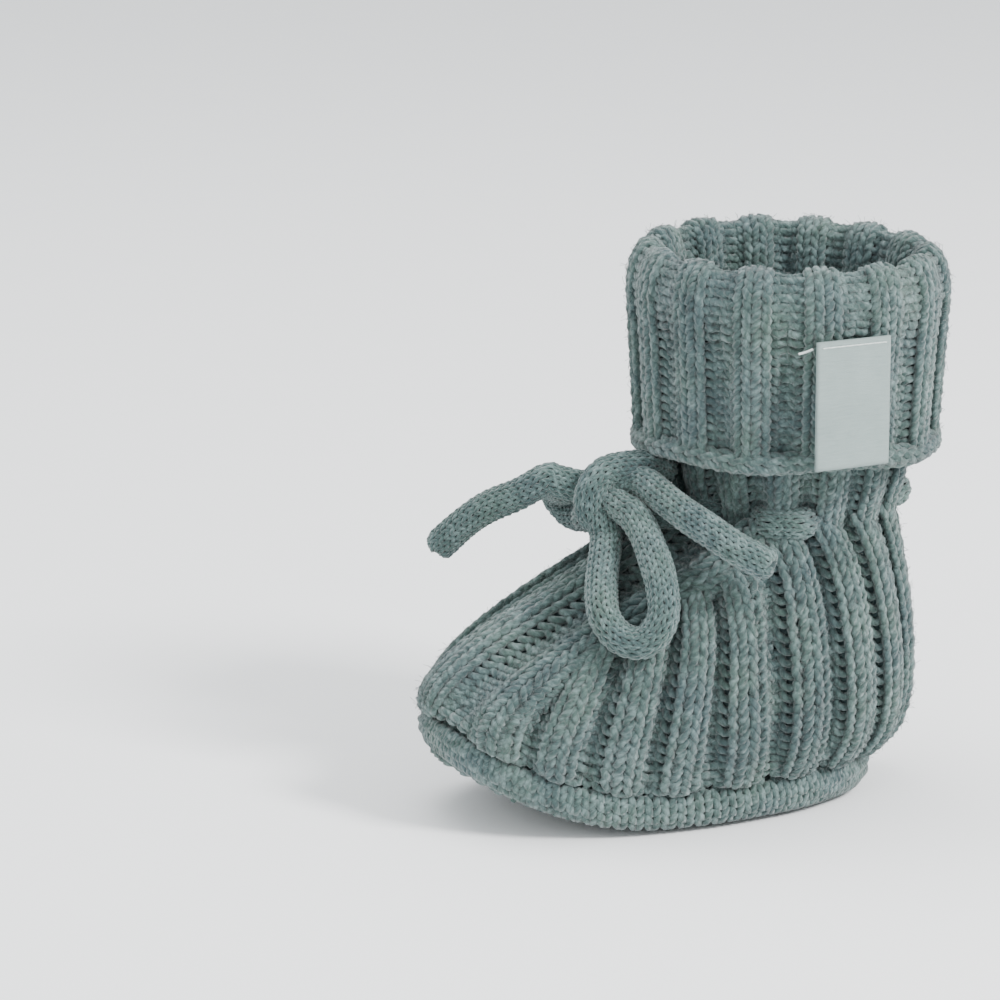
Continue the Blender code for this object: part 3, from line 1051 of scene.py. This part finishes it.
def sole_backing():
    """The wool behind the sole's knitting: a closed pad that follows the sole's outline."""
    turn = np.linspace(0, 2 * PI, 120, endpoint=False)
    inset = np.array([1.0, 1.2, 1.6, 1.9, 2.6, 4.0, 14.0, 25.0])
    height = np.array([3.6, 5.2, 6.6, 7.2, 7.6, 7.8, 7.8, 7.8])
    low = np.array([2.2, 1.9, 1.7, 1.6, 1.6, 1.6, 1.6, 1.6])
    rings = []
    for heights in (height, low):
        x, y = sole_outline(turn[:, None], inset[None])
        rings.append(np.stack([x, y, toe_spring(y) + heights[None] + 0 * x], -1))
    top, bottom = rings
    outline = np.concatenate([top[:, ::-1], bottom], 1)
    points = outline.reshape(-1, 3)
    n, m = outline.shape[:2]
    index = np.arange(n * m).reshape(n, m)
    rows = np.concatenate([index, index[:1]])
    quads = np.stack([rows[:-1, :-1], rows[:-1, 1:], rows[1:, 1:], rows[1:, :-1]], -1).reshape(-1, 4)
    corners = np.r_[quads.ravel(), index[::-1, 0][::-1], index[:, -1][::-1]]
    totals = np.r_[np.full(len(quads), 4), n, n]
    dress(make_piece("sole_backing", points, corners, totals), BACKING_PAINTED_SHADE, "foot")


side_wall()
instep_flap()
leg()
sole_band()
sole_under()
sole_backing()


def foot_fuzz():
    """Loose fibres over the foot and the bottom of the leg."""
    near = fuzz("near_side_fuzz", side_place, side_relief, (0, 38), (0.3, SIDE_ROWS), 1, 7000, 3)
    flap = fuzz("instep_flap_fuzz", flap_place, flap_relief, (-6.8, 6.8), (0.3, FLAP_ROWS), -1, 3500, 5)
    upper = fuzz("leg_fuzz", leg_place, leg_relief, (0, LEG_WALES), (0, 8), 1, 2500, 7)
    for piece in (near, mirrored(near, "far_side_fuzz"), flap, upper):
        dress(piece, YARN, "foot")


foot_fuzz()


# cuff


SLEEVE_ROWS = 17.0


def cuff():
    """One yarn of ribbing that climbs the cuff, in two pieces that meet end to end."""
    for name, first, last, cad in (
        ("cuff_sleeve_knit", 0.0, SLEEVE_ROWS, ("cuff",)),
        ("cuff_rim_knit", SLEEVE_ROWS, float(CUFF_ROWS - 1), ()),
    ):
        line = stitch_line(
            cuff_place,
            cuff_relief,
            lambda x, y: rib_face(x, 0),
            LEG_WALES * first,
            LEG_WALES * last,
            lambda x: 0.2 + x / LEG_WALES,
            1,
            lean=-1,
        )
        dress(yarn_tubes(name, [line], YARN_RADIUS), YARN, "cuff", cad)
    xs, ys = np.meshgrid(
        np.arange(LEG_WALES * 4) / 4.0, np.linspace(0.2, 24, 50), indexing="ij"
    )
    dress(
        backing("cuff_backing", cuff_place, cuff_relief, xs, ys, 1, True, 1.1, 0.5),
        BACKING_PAINTED_SHADE,
        "cuff",
    )


CHAIN_RADIUS = 1.35


def bind_off():
    """The chained edge along the bottom of the cuff: a spiral of three stitches round its line."""
    rows = LEG_WALES

    def place(x, y):
        turn = y * 2 * PI / rows
        angle = x * 2 * PI / 3
        radius = CUFF_BOTTOM_RADIUS - 0.2 + cuff_swell(turn) + CHAIN_RADIUS * np.cos(angle)
        height = CUFF_BOTTOM + 0.2 + cuff_sag(turn) + CHAIN_RADIUS * np.sin(angle)
        return ring_point(turn, radius, height, CUFF_AXIS_Y)

    line = stitch_line(
        place,
        lambda x, y: 0 * x,
        lambda x, y: 1 + 0 * x,
        0.0,
        3.0 * rows,
        lambda x: x / 3,
        -1,
        bulge=0.35,
        reach=0.7,
        sway=0.26,
    )
    dress(
        yarn_tubes("cuff_bind_off", [line], YARN_RADIUS), YARN, "cuff", ("cuff_edge",)
    )


def cuff_fuzz():
    """Loose fibres over the cuff."""
    fibres = fuzz("cuff_fuzz", cuff_place, cuff_relief, (0, LEG_WALES), (0, 30), 1, 9000, 9)
    dress(fibres, YARN, "cuff")


cuff()
bind_off()
cuff_fuzz()


# seams


def seam(name, route, cad, radius=0.6, pitch=2.6, width=0.9):
    """Overcast stitches: a yarn that winds round the line of a seam."""
    route = smooth_route(route, 0.35)
    across, up = tube_frame(route, np.array([0.3, 0.1, 1.0]))
    run = run_along(route)
    angle = (run * 2 * PI / pitch)[:, None]
    line = route + width * (np.cos(angle) * across + np.sin(angle) * up)
    dress(yarn_tubes(name, [(line, up)], radius), YARN, "foot", cad)


def seams():
    """The yarn that joins the sole, the flap's two edges and the heel."""
    turn = np.linspace(0.02, 2 * PI - 0.02, 90)
    x, y = sole_outline(turn, 2.9)
    seam("sole_seam_stitches", np.stack([x, y, toe_spring(y) + 7.5], -1), ("sole_seam",))
    rise = np.linspace(0.04, 0.93, 24)
    for name, sign in (("near", 1), ("far", -1)):
        edge = upper_point(flap_edge(rise), rise)
        normal = unit(edge - np.array([0, -5.0, 20.0]))
        line = (edge - normal * 3.4) * np.array([sign, 1, 1])
        seam(name + "_flap_seam_stitches", line, (name + "_flap_seam",), 0.5, 2.4, 0.6)
    rise = np.linspace(0.05, 0.97, 20)
    heel = upper_point(0 * rise, rise) - np.array([0, 3.4, 0])
    seam("back_seam_stitches", heel, ("back_seam",), 0.5, 2.4, 0.6)


seams()


# label


def label():
    """A tape folded double, its fold at the bottom edge, sewn along the top, and one thread
    tacked into the knitting beside it."""
    low, high = (np.array(v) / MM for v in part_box("label"))
    wide = np.linspace(low[1], high[1], 25)
    run = np.linspace(0, 1, 60)
    tall = high[2] - low[2]
    height = np.where(run < 0.5, high[2] - 2 * run * tall, low[2] + (2 * run - 1) * tall)
    fold = np.clip(1 - (height - low[2]) / 1.2, 0, 1)
    depth = np.where(run < 0.5, 1, -1) * LABEL_GAP * np.sqrt(np.clip(1 - fold**2, 0, 1))
    centre_x = (low[0] + high[0]) / 2 + 0.15
    slant = LABEL_SLANT * (wide.mean() - wide)
    bow = 0.35 * (1 - ((wide - wide.mean()) / (wide.max() - wide.min()) * 2) ** 2)
    lift = np.clip((high[2] - height) / tall, 0, 1)
    x = centre_x + slant[:, None] + depth[None] + bow[:, None] * lift[None] * 0.5 + 0.25 * lift[None]
    grid = np.stack([x, wide[:, None] + 0 * x, height[None] + 0 * x], -1)
    across = np.gradient(grid, axis=0)
    along = np.gradient(grid, axis=1)
    normal = unit(np.cross(across, along))
    normal *= np.sign(normal[12, 10, 0])
    cloth = shell("label_cloth", grid + normal * LABEL_THICKNESS / 2, normal, LABEL_THICKNESS)
    dress(cloth, TAPE, "label", ("label",))
    top = high[2] - 1.1
    y = np.linspace(low[1] + 1.0, high[1] - 1.0, 90)
    weave = 0.12 * np.cos(2 * PI * (y - y[0]) / SEWING_STITCH)
    out = centre_x + LABEL_SLANT * (wide.mean() - y) + LABEL_GAP + 0.16 + weave
    line = np.stack([out, y, top + 0 * y], -1)
    stitches = yarn_tubes("label_stitches", [(line, np.array([1.0, 0, 0]))], 0.13)
    dress(stitches, THREAD, "label", ("label_thread",))
    low, high = (np.array(v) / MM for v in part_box("label_tack"))
    t = np.linspace(0, 1, 14)[:, None]
    line = low + TACK_SHIFT + (high - low) * t
    line[:, 0] = (low[0] + high[0]) / 2 + 0.25 * np.sin(PI * t[:, 0])
    tack = yarn_tubes("label_tack_thread", [(line, np.array([1.0, 0, 0]))], 0.24)
    dress(tack, THREAD, "cuff", ("label_tack",))


label()


# stage


def stage():
    """A pale floor, a pale sky, and three soft lamps."""
    floor = bpy.data.objects.new("floor", bpy.data.meshes.new("floor"))
    floor.data.from_pydata([(-4, -4, 0), (4, -4, 0), (4, 4, 0), (-4, 4, 0)], [], [(0, 1, 2, 3)])
    bpy.context.scene.collection.objects.link(floor)
    floor.location.z = -0.0002
    floor.data.materials.append(floor_finish("floor"))
    world = bpy.data.worlds.new("studio")
    world.use_nodes = True
    background = world.node_tree.nodes["Background"]
    background.inputs[0].default_value = colour(0.93, 0.97, 1.0)
    background.inputs[1].default_value = 1.3
    bpy.context.scene.world = world
    for name, place, size, power in (
        ("key", (0.85, 0.65, 0.95), 0.35, 30),
        ("fill", (0.8, -0.9, 0.5), 0.9, 4),
        ("top", (-0.3, -0.2, 1.3), 0.8, 10),
    ):
        lamp = bpy.data.lights.new(name, "AREA")
        lamp.size, lamp.energy = size, power
        light = bpy.data.objects.new(name, lamp)
        light.location = place
        aim = Vector((0, 0, 0.05)) - light.location
        light.rotation_euler = aim.to_track_quat("-Z", "Y").to_euler()
        bpy.context.scene.collection.objects.link(light)


stage()
